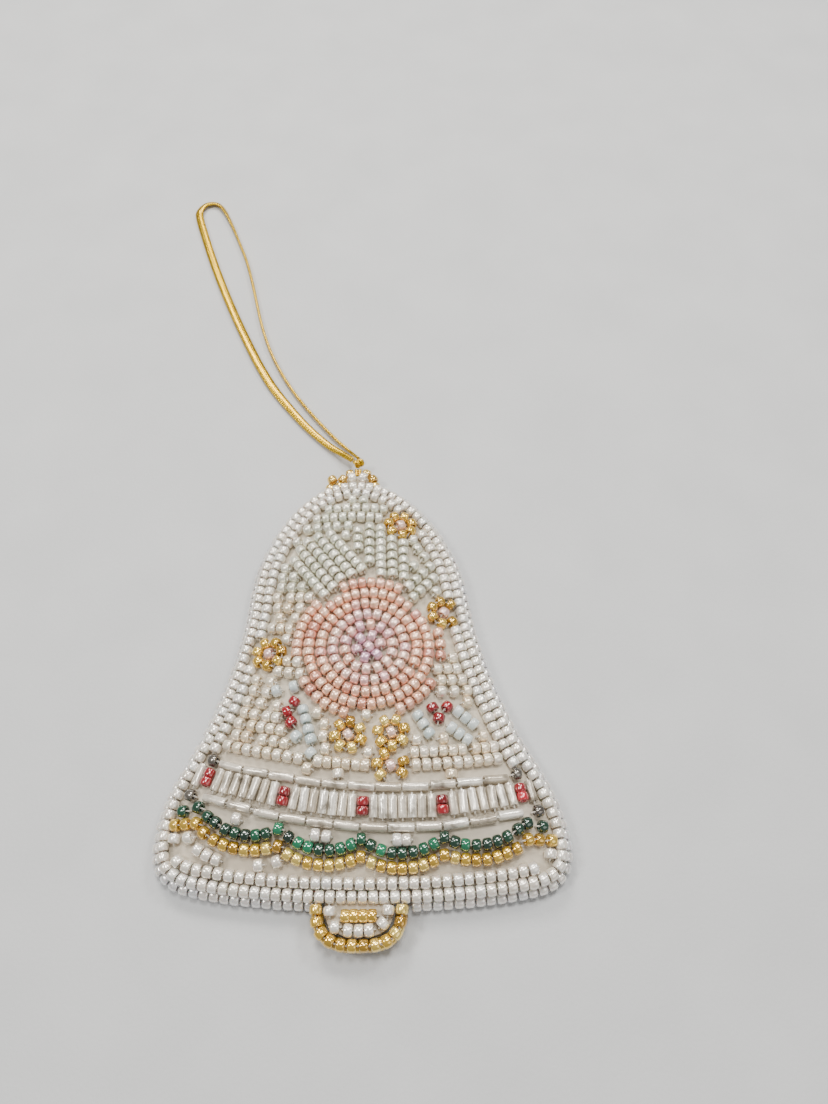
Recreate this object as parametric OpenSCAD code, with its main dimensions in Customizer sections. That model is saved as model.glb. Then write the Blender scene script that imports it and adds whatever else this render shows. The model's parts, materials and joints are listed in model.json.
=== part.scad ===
// Flat padded bell ornament, hand sewn with glass seed beads and bugle beads.
// It lies on its back: the felt back is on z = 0, the beaded front faces +Z
// and the crown with its hanging loop points to +Y.  Millimetres.

/* [Bell body] */
// Height of the fabric bell from the hem to the top of the dome
bell_h = 76.7; // [74:0.1:79]
// Width of the fabric across the skirt, at its widest
skirt_w = 64.8; // [62:0.1:67]
// Width of the fabric where the dome meets the waist
dome_w = 37.2; // [36:0.1:39]
// Sideways lean of the dome for each millimetre of height
lean = 0.043; // [0:0.001:0.06]
// Thickness of the sewn edge, felt and front fabric together
edge_t = 2.6; // [2.4:0.05:3]
// Extra height of the stuffed middle over the edge
dome_t = 3.6; // [2.5:0.1:4.5]
// Distance from the edge over which the stuffing rises
rise_w = 18; // [14:1:24]

/* [Cloth] */
// Thickness of the felt back
felt_t = 1; // [0.6:0.1:1.2]
// Thickness of the front fabric
fabric_t = 0.4; // [0.3:0.05:0.6]

/* [Beads] */
// Diameter of a round seed bead
bead_d = 2; // [1.9:0.05:2]
// Length of a round seed bead along its hole
bead_l = 1.36; // [1.1:0.02:1.36]
// Diameter of a bead's hole
hole_d = 0.8; // [0.6:0.05:0.9]
// Distance from bead to bead along a row
pitch = 1.56; // [1.56:0.01:1.8]
// Distance from row to row
row = 2.07; // [2.07:0.01:2.3]
// Diameter of a bugle bead
bugle_d = 1.5; // [1.4:0.05:1.5]
// Length of a bugle bead
bugle_l = 4.3; // [3.8:0.1:4.3]
// Diameter of a ruby bead in the band
ruby_d = 1.9; // [1.7:0.05:1.9]

/* [Rose] */
// Number of petals round the rose
petals = 5; // [4:1:6]
// Number of full rings of beads inside the petals
rings = 3; // [2:1:3]

/* [Band and garlands] */
// Sag of the band's curve, per square millimetre of width
band_curve = 0.005; // [0.003:0.0005:0.006]
// Slope of the band across the bell
band_slope = -0.047; // [-0.06:0.001:0]
// Distance between the centres of the two rails
band_w = 6.1; // [6.1:0.05:6.3]
// Width of one scallop of the garlands
scallop_w = 13.3; // [13.3:0.1:14]
// Depth of one scallop
scallop_h = 2.1; // [1.5:0.1:2.1]

/* [Hanging cord] */
// Diameter of the metallic cord
cord_d = 1.3; // [1:0.05:1.4]
// Diameter of the knot that ties its two ends
knot_d = 2.6; // [2.4:0.1:2.8]

/* [Hidden] */
$fn = 24;

gap = 0.08;
air = 0.06;
hem_y = -36.7;
dome_x = dome_w / 2;
skirt_x = skirt_w / 2;
widest_y = hem_y + 0.1 * bell_h;
seam_out = 1.1;
seam_z = 1.68;
bead_r = bead_d / 2;

// Cubic curves that make the right half of the outline, from the dome's top to the hem.
// Each point is a share of the half width and a share of the bell's height.
dome_curve = [[0, 1], [0.51, 1], [0.946, 0.827], [1, 0.688]];
waist_curve = [[1, 0.688], [1.043, 0.54]];
flare_curve = [[0.749, 0.357], [0.895, 0.253]];
skirt_curve = [[0.895, 0.253], [0.954, 0.209], [1, 0.15], [1, 0.1]];
corner_curve = [[1, 0.1], [1, 0.06], [0.96, 0.042], [0.85, 0.029]];
hem_curve = [[0.85, 0.029], [0.6, 0.007], [0.279, 0], [0, 0]];

function scaled(pts, half_w) = [for (p = pts) [p.x * half_w, hem_y + p.y * bell_h]];
function bezier(c, t) =
    pow(1 - t, 3) * c[0] + 3 * pow(1 - t, 2) * t * c[1]
    + 3 * (1 - t) * t * t * c[2] + pow(t, 3) * c[3];
curves = [scaled(dome_curve, dome_x),
    concat(scaled(waist_curve, dome_x), scaled(flare_curve, skirt_x)),
    scaled(skirt_curve, skirt_x), scaled(corner_curve, skirt_x), scaled(hem_curve, skirt_x)];
curve_steps = [10, 9, 4, 10, 8];
right_half = [for (k = [0 : 4]) for (i = [0 : curve_steps[k] - 1])
    bezier(curves[k], i / curve_steps[k])];
hem_mid = [0, hem_y];
upright = concat(right_half, [hem_mid],
    [for (i = [len(right_half) - 1 : -1 : 1]) [-right_half[i].x, right_half[i].y]]);
function leant(p) = [p.x - lean * (p.y - widest_y), p.y];
outline = [for (p = upright) leant(p)];
half_keys = concat([for (p = right_half) [p.y, p.x]], [[hem_y, 0]]);
function half_width(y) = lookup(y, half_keys);
function axis_x(y) = -lean * (y - widest_y);

// Distance from a point to the outline, and the fabric's height over the table.
function seg_dist(p, a, b) =
    let (u = b - a, t = max(0, min(1, (p - a) * u / (u * u)))) norm(p - a - t * u);
function line_dist(p, pts) =
    min([for (i = [0 : len(pts) - 1]) seg_dist(p, pts[i], pts[(i + 1) % len(pts)])]);
function swell(d) = sin(90 * min(1, d / rise_w));
function surf(p) = edge_t + dome_t * swell(line_dist(p, outline));
probe = 0.5;
function slope(p) = [
    (surf(p + [probe, 0]) - surf(p - [probe, 0])) / (2 * probe),
    (surf(p + [0, probe]) - surf(p - [0, probe])) / (2 * probe)];

// A seat is a bead's place in space: [centre, direction of its hole].
function seat(p, angle, r) =
    let (g = slope(p), n = [-g.x, -g.y, 1] / norm([g.x, g.y, 1]), d = [cos(angle), sin(angle)])
    [[p.x, p.y, surf(p)] + (r + gap) * n, [d.x, d.y, g * d]];
function flat_seat(p, angle, z) = [[p.x, p.y, z], [cos(angle), sin(angle), 0]];
function seats(spots, r = bead_r) = [for (s = spots) seat([s.x, s.y], s[2], r)];
function flat_seats(spots, z) = [for (s = spots) flat_seat([s.x, s.y], s[2], z)];

// ---- Laying beads along lines ----------------------------------------------
// A spot is a bead's place in plan: [x, y, angle of its hole, name of its node].
function running(pts, i = 0, sum = 0) = i >= len(pts) - 1 ? [sum]
    : concat([sum], running(pts, i + 1, sum + norm(pts[i + 1] - pts[i])));
function spot_at(pts, run, s, name) =
    let (i = max([for (k = [0 : len(run) - 2]) if (run[k] <= s) k]),
        u = pts[i + 1] - pts[i], p = pts[i] + u * (s - run[i]) / norm(u))
    [p.x, p.y, atan2(u.y, u.x), name];
function spread(pts, step, margin, name) =
    let (run = running(pts), total = run[len(run) - 1] - 2 * margin, n = floor(total / step))
    [for (i = [0 : n]) spot_at(pts, run, margin + (total - n * step) / 2 + i * step, name)];
function looped(pts, step, name) =
    let (ring = concat(pts, [pts[0]]), run = running(ring), total = run[len(run) - 1],
        n = floor(total / step))
    [for (i = [0 : n - 1]) spot_at(ring, run, (i + 0.5) * total / n, name)];
function inset(pts, d) =
    [for (i = [0 : len(pts) - 1])
        let (u = pts[(i + 1) % len(pts)] - pts[(i - 1 + len(pts)) % len(pts)])
        pts[i] + d * [u.y, -u.x] / norm(u)];

// How far a bead reaches from its centre in one direction.
half_l = bead_l / 2;
end_r = sqrt(bead_r * bead_r - half_l * half_l);
function reach(s, dir) = s[3] == "bugle" ? bugle_d / 2
    : let (c = abs(cos(s[2] - dir))) c > half_l / bead_r ? half_l * c + end_r * sqrt(1 - c * c) : bead_r;
function apart(a, b) = let (v = [b.x - a.x, b.y - a.y], dir = atan2(v.y, v.x))
    norm(v) >= reach(a, dir) + reach(b, dir) + air;
near_by = bead_d + 0.1;
function close_by(s, list) =
    [for (o = list) if (abs(o.x - s.x) < near_by && abs(o.y - s.y) < near_by) o];
function is_free(s, list) = len([for (o = close_by(s, list)) if (!apart(s, o)) 1]) == 0;
function on_cloth(s) = s.y < clapper_y || abs(s.x - axis_x(s.y)) < half_width(s.y) - bead_r;

// A job is [line of points, name of the node, distance from bead to bead].
// Beads fill each stretch of the line that earlier beads leave free.
stride = 0.3;
function lay_line(job, placed) =
    let (pts = job[0], run = running(pts), n = floor(run[len(run) - 1] / stride),
        lo = [min([for (p = pts) p.x]), min([for (p = pts) p.y])] - [3, 3],
        hi = [max([for (p = pts) p.x]), max([for (p = pts) p.y])] + [3, 3],
        near = [for (o = placed) if (o.x > lo.x && o.x < hi.x && o.y > lo.y && o.y < hi.y) o],
        free = [for (i = [0 : n]) let (s = spot_at(pts, run, i * stride, job[1]))
            on_cloth(s) && is_free(s, near)],
        starts = [for (i = [0 : n]) if (free[i] && (i == 0 || !free[i - 1])) i],
        ends = [for (i = [0 : n]) if (free[i] && (i == n || !free[i + 1])) i])
    keep_apart([for (k = [0 : 1 : len(starts) - 1])
        let (s0 = starts[k] * stride, s1 = ends[k] * stride, m = floor((s1 - s0) / job[2]))
        each [for (i = [0 : m])
            spot_at(pts, run, m == 0 ? (s0 + s1) / 2 : s0 + (s1 - s0) * i / m, job[1])]]);
function keep_apart(list, kept = [], i = 0) = i >= len(list) ? kept
    : keep_apart(list, is_free(list[i], kept) ? concat(kept, [list[i]]) : kept, i + 1);
function lay(jobs, placed, i = 0) = i == len(jobs) ? placed
    : lay(jobs, concat(placed, lay_line(jobs[i], placed)), i + 1);

// ---- Rows round the edge ---------------------------------------------------
contour_in = row + 0.2;
edge_pitch = 1.7;
outline_spots = looped(outline, edge_pitch, "outline_beads");
contour_line = inset(outline, contour_in);
contour_job = [concat(contour_line, [contour_line[0]]), "contour_beads", edge_pitch];

// ---- Band of bugles --------------------------------------------------------
band_y = hem_y + 16.6;
function band(x, drop) = band_y - drop + band_curve * x * x + band_slope * x;
function band_angle(x) = atan(2 * band_curve * x + band_slope);
function band_line(drop, x0, x1) = [for (i = [0 : 30]) let (x = x0 + (x1 - x0) * i / 30)
    [x, band(x, drop)]];
rail_step = bugle_l + 0.1;
upper_rail_x = [-24.4, 24.4];
lower_rail_x = [-26.6, 26.6];
function rail(drop, ends) = spread(band_line(drop, ends[0], ends[1]), rail_step, bugle_l / 2, "bugle");
upper_rail = rail(0, upper_rail_x);
lower_rail = rail(band_w, lower_rail_x);
ladder_gap = (ruby_d + bugle_d) / 2 + 0.06;
ladder_n = 6;
ladder_l = bugle_l - 0.55;
ladder_step = (scallop_w - 2 * ladder_gap) / ladder_n;
ladder_end = 29.2;
function band_spot(x, turn, name) =
    [x - band_angle(x) * 0.05, band(x, band_w / 2), band_angle(x) + turn, name];
ladder_xs = [for (k = [-3 : 2]) for (i = [0 : ladder_n])
    k * scallop_w + ladder_gap + i * ladder_step];
ladder = [for (x = ladder_xs) if (abs(x) < ladder_end) band_spot(x, 90, "bugle")];
ruby_half = half_l + 0.05;
ruby = [for (k = [-2 : 2]) for (side = [-1, 1])
    let (s = band_spot(k * scallop_w, 90, "ruby_beads"))
    [s.x + side * ruby_half * cos(s[2]), s.y + side * ruby_half * sin(s[2]), s[2], s[3]]];
bugle_marks = [for (s = concat(upper_rail, lower_rail, ladder)) for (k = [-1.5, -0.5, 0.5, 1.5])
    [s.x + k * cos(s[2]), s.y + k * sin(s[2]), s[2], "bugle"]];
rail_end_reach = 6;
rail_end_shift = 0.3;
rail_end_rows = [[-rail_end_shift, upper_rail_x], [band_w + rail_end_shift, lower_rail_x]];
rail_end_jobs = [for (r = rail_end_rows) for (side = [0, 1])
    let (x = r[1][side], away = side * 2 - 1)
    [[for (i = [0 : 6]) let (u = x + away * (0.4 + rail_end_reach * i / 6)) [u, band(u, r[0])]],
        "rail_end_beads", pitch]];

// ---- Garlands --------------------------------------------------------------
garland_drop = band_w + (bugle_d + bead_d) / 2 + 2 * air;
garland_end = 31.4;
flatten = 0.018;
garland_pitch = bead_l + air + 0.08;
// Steps along a finely drawn arc.
fine = 90;
function scallop_y(x, k) = let (u = (x - k * scallop_w) / scallop_w)
    band(x, garland_drop) - (scallop_h - flatten * max(0, x)) * 4 * u * (1 - u);
function scallop_line(k, x0, x1) = [for (i = [0 : fine]) let (x = x0 + (x1 - x0) * i / fine)
    [x, scallop_y(x, k)]];
function lowered(pts, d) = [for (i = [0 : len(pts) - 1])
    let (u = pts[min(i + 1, len(pts) - 1)] - pts[max(i - 1, 0)])
    pts[i] - [0, d * norm(u) / abs(u.x)]];
cusp_extra = 1.19;
function cusps(d, name) = [for (k = [-2 : 2]) let (x = k * scallop_w)
    [x, band(x, garland_drop) - d * cusp_extra, band_angle(x), name]];
function garland_jobs(d, name) = [for (k = [-3 : 2])
    let (x0 = max(k * scallop_w, -garland_end), x1 = min((k + 1) * scallop_w, garland_end))
    [lowered(scallop_line(k, x0, x1), d), name, garland_pitch]];
gold_drop = row + 0.05;
cusp_spots = concat(cusps(0, "green_garland"), cusps(gold_drop, "gold_garland"));
garlands = concat(garland_jobs(0, "green_garland"), garland_jobs(gold_drop, "gold_garland"));
under_gold_jobs = [for (k = [-3 : 2]) let (x0 = max(k * scallop_w, -garland_end),
    x1 = min((k + 1) * scallop_w, garland_end))
    [lowered(scallop_line(k, x0, x1), 2 * row + 0.15), "hem_field_beads", pitch]];
hem_jobs = concat(under_gold_jobs,
    [for (d = [0, row + 0.1, garland_drop - band_w + 2.4 * row, garland_drop - band_w + 3.2 * row])
        [band_line(garland_drop + d, -31, 31), "hem_field_beads", pitch]]);

// ---- Rose ------------------------------------------------------------------
rose = [0.4, hem_y + 40.85];
rose_step = 2.1;
petal_turn = 90;
petal_wide = 46;
function arc_step(r) = 2 * (half_l + end_r * tan(asin(min(0.9, 0.9 / r)))) + 2 * air;
function ring_n(r) = floor(2 * PI * r / arc_step(r));
function polar(c, r, a, name) = [c.x + r * cos(a), c.y + r * sin(a), a + 90, name];
function ring(c, r, turn, name) = let (n = ring_n(r))
    [for (i = [0 : n - 1]) polar(c, r, turn + 360 * i / n, name)];
heart_spots = concat([[rose.x, rose.y, 40, "rose_heart"]], ring(rose, rose_step, 15, "rose_heart"));
inner_spots = [for (k = [2 : rings]) each ring(rose, k * rose_step, 5 * k, "rose_inner_petals")];
function arc_line(c, r, mid, wide) = [for (i = [0 : fine]) let (a = mid + wide * (i / fine - 0.5))
    [c.x + r * cos(a), c.y + r * sin(a)]];
ring_jobs = [for (k = [1, 2]) let (r = (rings + k) * rose_step)
    [arc_line(rose, r, 90 + 70 * k, 358), "rose_outer_petals", arc_step(r)]];
tip_r = (rings + 3) * rose_step;
petal_jobs = [for (i = [0 : petals - 1])
    [arc_line(rose, tip_r, petal_turn + 360 * i / petals, petal_wide), "rose_outer_petals", pitch]];

// ---- Flowers, berries and leaves -------------------------------------------
// Each flower is [x, height over the hem, turn of its petals].
flower_r = 2.25;
flower_n = 7;
flowers = [for (f = [[5.6, 66.6, 20], [13.6, 48.4, 55], [-17.2, 40.2, 10], [-2.6, 25, 30], [4.6, 25.4, 18],
    [4.6, 19.9, 18]]) [f.x, hem_y + f.y, f[2]]];
flower_petal_spots = [for (f = flowers) for (i = [0 : flower_n - 1])
    polar(f, flower_r, f[2] + 360 * i / flower_n, "gold_flower_petals")];
flower_centre_spots = [for (f = flowers) concat(f, ["gold_flower_centres"])];

berries = [for (b = [[-12, 30.9, 60], [-13.1, 29.1, 20], [-12.3, 27.2, 130], [11.4, 29.9, 120],
    [13.9, 30.2, 50], [12.5, 28, 80]]) [b.x, hem_y + b.y, b[2], "berry_beads"]];
// Lines of the small pale leaves beside the berries, in heights over the hem.
berry_leaf_lines = [[[-10.4, 29.4], [-8.8, 24.2]], [[-11.6, 25], [-8.4, 21.6]], [[-15.2, 33], [-9.6, 34.2]],
    [[15.8, 29.4], [18.6, 27.2]], [[14.6, 26.4], [17.4, 24.4]], [[9, 28.4], [11, 25.2]]];
berry_leaf_jobs = [for (l = berry_leaf_lines)
    [[for (p = l) [p.x, hem_y + p.y]], "berry_leaf_beads", pitch]];

// A leaf is [x, height over the hem, angle, length]: straight rows side by side.
leaves = [[-7.6, 57.6, 128, 13], [2, 60.6, 92, 11], [9.8, 56.2, 50, 11]];
leaf_rows = 3;
function leaf_line(l, side) =
    let (a = l[2], half = l[3] / 2 * sqrt(1 - pow(side / leaf_rows, 2)),
        mid = [l.x, hem_y + l.y] + side * (row + 0.02) * [-sin(a), cos(a)])
    [mid - half * [cos(a), sin(a)], mid + half * [cos(a), sin(a)]];
leaf_jobs = [for (l = leaves) for (k = [0, 1, -1, 2, -2]) [leaf_line(l, k), "leaf_beads", pitch]];

// ---- Field rows ------------------------------------------------------------
// The lower rows follow the band; above them the rows straighten towards the dome.
field_low = 17.9;
low_rows = 9;
high_rows = 16;
low_step = row + 0.04;
high_step = row + 0.15;
side_from = field_low + (low_rows - 2) * low_step;
dome_from = 52;
top_bow = -0.002;
field_half = 31;
function field_name(h) = h > dome_from ? "dome_field_beads"
    : h > side_from ? "side_field_beads" : "skirt_field_beads";
function field_line(h) =
    let (u = max(0, (h - field_low - low_rows * low_step) / (high_rows * high_step)),
        bow = band_curve + (top_bow - band_curve) * u, tilt = band_slope * (1 - u))
    [for (i = [-12 : 12]) let (x = field_half * i / 12) [x, hem_y + h + bow * x * x + tilt * x]];
function field_job(h) = [field_line(h), field_name(h), pitch];
field_jobs = concat([for (k = [0 : low_rows]) field_job(field_low + k * low_step)],
    [for (k = [1 : high_rows]) field_job(field_low + low_rows * low_step + k * high_step)]);
// Small gaps that are left are closed with single beads, along finer lines.
fill_step = 0.6;
upright_half = 24;
function upright_line(x, h0, h1) = [for (i = [0 : 10]) let (y = hem_y + h0 + (h1 - h0) * i / 10)
    [x + axis_x(y), y]];
fill_zones = [[52, bell_h - 3], [32, 52], [field_low, 32]];
fill_jobs = concat([for (h = [field_low : fill_step : bell_h - 3]) field_job(h)],
    [for (z = fill_zones) for (x = [-upright_half : fill_step : upright_half])
        [upright_line(x, z[0], z[1]), field_name(z[0] + 1), pitch]]);
hem_fill_jobs = [for (h = [2.2 : fill_step : 9])
    [band_line(band_y - hem_y - h, -31, 31), "hem_field_beads", pitch]];

// ---- Clapper ---------------------------------------------------------------
clapper_y = hem_y - 0.4;
clapper = [-0.2, hem_y - 1.2];
rim_size = [6.8, 5.8];
rim_z = seam_z + bead_d + 0.05;
clapper_z = rim_z - bead_r - gap;
clapper_in = 1.35;
bar_n = 4;
// The clapper's outline is an ellipse with slightly square shoulders.
squareness = 0.72;
function rounded(v) = sign(v) * pow(abs(v), squareness);
function lobe(size, a0, a1) = [for (i = [0 : 40]) let (a = a0 + (a1 - a0) * i / 40)
    clapper + [size.x * rounded(cos(a)), size.y * rounded(sin(a))]];
bar_y = -1.5;
bar_pitch = bead_l + air;
clapper_rows = [1.2, 1.9, 2.5, 3.1, 3.6, 4.1];
bar_spots = [for (i = [0 : bar_n - 1])
    [clapper.x + (i - (bar_n - 1) / 2) * bar_pitch, clapper.y + bar_y, 0, "clapper_gold_bar"]];
clapper_jobs = [[lobe(rim_size, 181, 359), "clapper_rim_beads", 1.72],
    [lobe(rim_size - [row + 0.1, row + 0.1], 181, 359), "clapper_pearls", 1.6],
    for (h = clapper_rows)
        [[clapper - [rim_size.x, h], clapper + [rim_size.x, -h]], "clapper_pearls", 1.6]];

// ---- Crown -----------------------------------------------------------------
crown = [axis_x(hem_y + bell_h), hem_y + bell_h + 0.6];
crown_r = 3.6;
crown_z = 2.2;
crown_angles = [2, 32, 62, 118, 148, 178];
crown_side = [[-5.25, 1.8, 110], [-5.6, -0.4, 80]];
crown_gold_spots = concat([for (a = crown_angles) polar(crown, crown_r, a, "crown_gold_beads")],
    [for (s = crown_side) [crown.x + s.x, crown.y + s.y, s[2], "crown_gold_beads"]]);
crown_pearl_spots = [for (p = [[-1.15, 1.45, 20], [1.15, 1.45, -20]])
    [crown.x + p.x, crown.y + p.y, p[2], "crown_pearls"]];

// ---- All the face beads, laid in order -------------------------------------
edge_and_band = concat(outline_spots, bugle_marks, ruby, cusp_spots, heart_spots, inner_spots, bar_spots);
fixed_spots = keep_apart(concat(berries, flower_centre_spots, flower_petal_spots), edge_and_band);
jobs = concat(clapper_jobs, rail_end_jobs, garlands, [contour_job], ring_jobs, petal_jobs,
    berry_leaf_jobs, leaf_jobs, hem_jobs, field_jobs, fill_jobs, hem_fill_jobs);
laid = lay(jobs, fixed_spots);
function named(name) = [for (s = laid) if (s[3] == name) s];

// The seam row lies lower, round the edge, and leaves room for the clapper and the crown.
clapper_seam_spots = spread(lobe(rim_size - [0.1, 0.1], 184, 356), 1.74, 0, "clapper_seam_beads");
neck_marks = [for (x = [-6 : 1.5 : 6]) [clapper.x + x, clapper.y - 0.2, 0, "bugle"]];
tab_marks = [for (x = [-2.4 : 0.8 : 2.4]) [crown.x + x, crown.y, 0, "tab"]];
seam_blocks = concat(clapper_seam_spots, crown_gold_spots, neck_marks, tab_marks);
seam_row = looped(inset(outline, -seam_out), edge_pitch, "seam_beads");
seam_spots = [for (s = seam_row) if (is_free(s, seam_blocks)) s];

// ---- Hanging cord ----------------------------------------------------------
// The pivot is the middle of the knot, where the loop swings.
pivot = [crown.x, crown.y + crown_r + 2.1, 2.6];
// Route of the loop, from one end at the knot round to the other.
loop_route = [[-4.4, 47.4, 2.3], [-6.8, 49.6, 1.5], [-9.9, 52.2, 0.9], [-14.4, 56.8, 0.75],
    [-18.6, 62, 0.7], [-22.6, 67.6, 0.7], [-26, 73.6, 0.7], [-29.2, 80.2, 0.7], [-32.4, 87.2, 0.7],
    [-35.4, 94.2, 0.7], [-38.2, 101.2, 0.7], [-40.8, 108.2, 0.7], [-43.2, 115.2, 0.7],
    [-45, 120.8, 0.7], [-45.4, 123.8, 0.7], [-44, 126.2, 0.7], [-41.4, 126.4, 0.7],
    [-39.4, 124.2, 0.7], [-37, 119.2, 0.7], [-34.6, 113.2, 0.7], [-32.2, 106.8, 0.7],
    [-30.2, 100, 0.7], [-28.4, 92.8, 0.7], [-26.6, 85.8, 0.7], [-24.2, 78.6, 0.7],
    [-21.2, 72, 0.7], [-17.6, 65.8, 0.7], [-13.4, 60, 0.75], [-8.8, 54.4, 0.75],
    [-5.2, 50.6, 0.9], [-3, 47.8, 2.1]];
cord_sides = 8;
rings_per_leg = 2;
function spline(p, i, t) =
    let (a = p[max(i - 1, 0)], b = p[i], c = p[i + 1], d = p[min(i + 2, len(p) - 1)])
    0.5 * (2 * b + (c - a) * t + (2 * a - 5 * b + 4 * c - d) * t * t
        + (3 * b - a - 3 * c + d) * t * t * t);
cord_line = concat([for (i = [0 : len(loop_route) - 2]) for (k = [0 : rings_per_leg - 1])
    spline(loop_route, i, k / rings_per_leg)], [loop_route[len(loop_route) - 1]]);
function unit(v) = v / norm(v);

// ---- Shared shapes ---------------------------------------------------------
module turned(s) {
    translate(s[0])
        rotate([0, acos(s[1].z / norm(s[1])), atan2(s[1].y, s[1].x)])
            children();
}

module bead(s, d) {
    turned(s)
        difference() {
            intersection() {
                sphere(d = d);
                cube([d + 1, d + 1, bead_l], center = true);
            }
            cylinder(d = hole_d, h = bead_l + 1, center = true);
        }
}

module beads(list, d = bead_d) {
    for (s = list)
        bead(s, d);
}

module face_beads(name) {
    beads(seats(named(name)));
}

module tube_bead(s, d, l) {
    turned(s)
        difference() {
            cylinder(d = d, h = l, center = true);
            cylinder(d = hole_d, h = l + 1, center = true);
        }
}

module tube_beads(list, d, l) {
    for (s = list)
        tube_bead(s, d, l);
}

// A closed skin over cross-sections that all have the same even number of points.
module skin(sections) {
    n = len(sections[0]);
    m = len(sections);
    last = (m - 1) * n;
    cap = [for (i = [0 : n / 2 - 2]) [i, i + 1, n - 2 - i, n - 1 - i]];
    polyhedron(points = [for (s = sections) each s],
        faces = concat([for (c = cap) flipped(c)],
            [for (k = [0 : m - 2]) for (i = [0 : n - 1]) let (j = (i + 1) % n)
                each [[k * n + i, k * n + j, (k + 1) * n + j],
                    [k * n + i, (k + 1) * n + j, (k + 1) * n + i]]],
            [for (c = cap) [for (i = c) last + i]]));
}

// Sections across the bell, from the hem to the top of the dome.
low_steps = [0.25, 0.7, 1.2, 1.8, 2.6, 3.4, 4.4];
main_steps = 22;
top_steps = [2.6, 1.3, 0.5, 0.15];
section_ys = flipped(concat([for (s = low_steps) hem_y + s],
    [for (i = [1 : main_steps]) hem_y + 4.4 + (bell_h - 4.4 - 4) * i / main_steps],
    [for (s = top_steps) hem_y + bell_h - s]));
across = 16;
pad_gap = 0.3;
function cross_line(y, trim) = let (w = max(0.4, half_width(y) - trim))
    [for (i = [0 : across]) [axis_x(y) - w + 2 * w * i / across, y]];
function cover(y, trim, lift) = [for (p = cross_line(y, trim)) [p.x, p.y, surf(p) + lift]];
function flipped(list) = [for (i = [len(list) - 1 : -1 : 0]) list[i]];
function floor_line(y, trim, z) = [for (p = cross_line(y, trim)) [p.x, p.y, z]];

// ---- Cloth parts -----------------------------------------------------------
module clapper_shape(trim, top) {
    polygon(concat([clapper + [-rim_size.x + trim, top], clapper + [rim_size.x - trim, top]],
        flipped(lobe(rim_size - [trim, trim], 180, 360))));
}

module backing_felt() {
    color("ivory")
        linear_extrude(felt_t)
            union() {
                polygon(inset(outline, 0.3));
                clapper_shape(1.5, 3);
            }
}

module stuffing_pad() {
    color("white")
        skin([for (y = section_ys)
            concat(cover(y, 0.4, -fabric_t - pad_gap), flipped(floor_line(y, 0.4, felt_t + 0.05)))]);
}

module front_fabric() {
    color("ivory")
        skin([for (y = section_ys) concat(cover(y, 0, 0), flipped(cover(y, 0, -fabric_t)))]);
}

module clapper_fabric() {
    color("ivory")
        translate([0, 0, clapper_z - fabric_t])
            linear_extrude(fabric_t)
                clapper_shape(clapper_in, 1.05);
}

module clapper_pad() {
    color("white")
        translate([0, 0, felt_t + 0.05])
            linear_extrude(clapper_z - fabric_t - felt_t - 0.1)
                clapper_shape(clapper_in + 0.25, 1.05);
}

module crown_tab() {
    color("ivory")
        translate([crown.x, crown.y, crown_z - 0.9])
            difference() {
                cylinder(r = crown_r - bead_r - 0.15, h = 1.3);
                translate([-5, -10.55, -1])
                    cube([10, 10, 4]);
            }
}

// ---- Beads of the edge and field -------------------------------------------
module seam_beads() {
    color("aliceblue")
        beads(flat_seats(seam_spots, seam_z));
}

module outline_beads() {
    color("white")
        face_beads("outline_beads");
}

module contour_beads() {
    color("white")
        face_beads("contour_beads");
}

module dome_field_beads() {
    color("honeydew")
        face_beads("dome_field_beads");
}

module side_field_beads() {
    color("ivory")
        face_beads("side_field_beads");
}

module skirt_field_beads() {
    color("ivory")
        face_beads("skirt_field_beads");
}

module hem_field_beads() {
    color("white")
        face_beads("hem_field_beads");
}

module leaf_beads() {
    color("gainsboro")
        face_beads("leaf_beads");
}

// ---- Rose, flowers and berries ---------------------------------------------
module rose_outer_petals() {
    color("peachpuff")
        face_beads("rose_outer_petals");
}

module rose_inner_petals() {
    color("mistyrose")
        face_beads("rose_inner_petals");
}

module rose_heart() {
    color("thistle")
        face_beads("rose_heart");
}

module gold_flower_petals() {
    color("gold")
        face_beads("gold_flower_petals");
}

module gold_flower_centres() {
    color("lavenderblush")
        face_beads("gold_flower_centres");
}

module berry_beads() {
    color("crimson")
        face_beads("berry_beads");
}

module berry_leaf_beads() {
    color("azure")
        face_beads("berry_leaf_beads");
}

// ---- Band and garlands -----------------------------------------------------
bugle_lift = bugle_d / 2 + 0.1;

module upper_rail_bugles() {
    color("silver")
        tube_beads(seats(upper_rail, bugle_lift), bugle_d, bugle_l);
}

module lower_rail_bugles() {
    color("silver")
        tube_beads(seats(lower_rail, bugle_lift), bugle_d, bugle_l);
}

module rail_end_beads() {
    color("gray")
        face_beads("rail_end_beads");
}

module ladder_bugles() {
    color("lightgray")
        tube_beads(seats(ladder, bugle_lift), bugle_d, ladder_l);
}

module ruby_beads() {
    color("darkred")
        beads(seats(ruby, ruby_d / 2), ruby_d);
}

module green_garland() {
    color("darkgreen")
        face_beads("green_garland");
}

module gold_garland() {
    color("goldenrod")
        face_beads("gold_garland");
}

// ---- Beads of the clapper and crown ----------------------------------------
module clapper_seam_beads() {
    color("goldenrod")
        beads(flat_seats(clapper_seam_spots, seam_z));
}

module clapper_rim_beads() {
    color("gold")
        beads(flat_seats(named("clapper_rim_beads"), rim_z));
}

module clapper_pearls() {
    color("white")
        beads(flat_seats(named("clapper_pearls"), rim_z));
}

module clapper_gold_bar() {
    color("orange")
        beads(flat_seats(bar_spots, rim_z));
}

module crown_gold_beads() {
    color("gold")
        beads(flat_seats(crown_gold_spots, crown_z));
}

module crown_pearls() {
    color("white")
        beads(flat_seats(crown_pearl_spots, crown_z + 0.4 + bead_r + gap));
}

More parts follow.
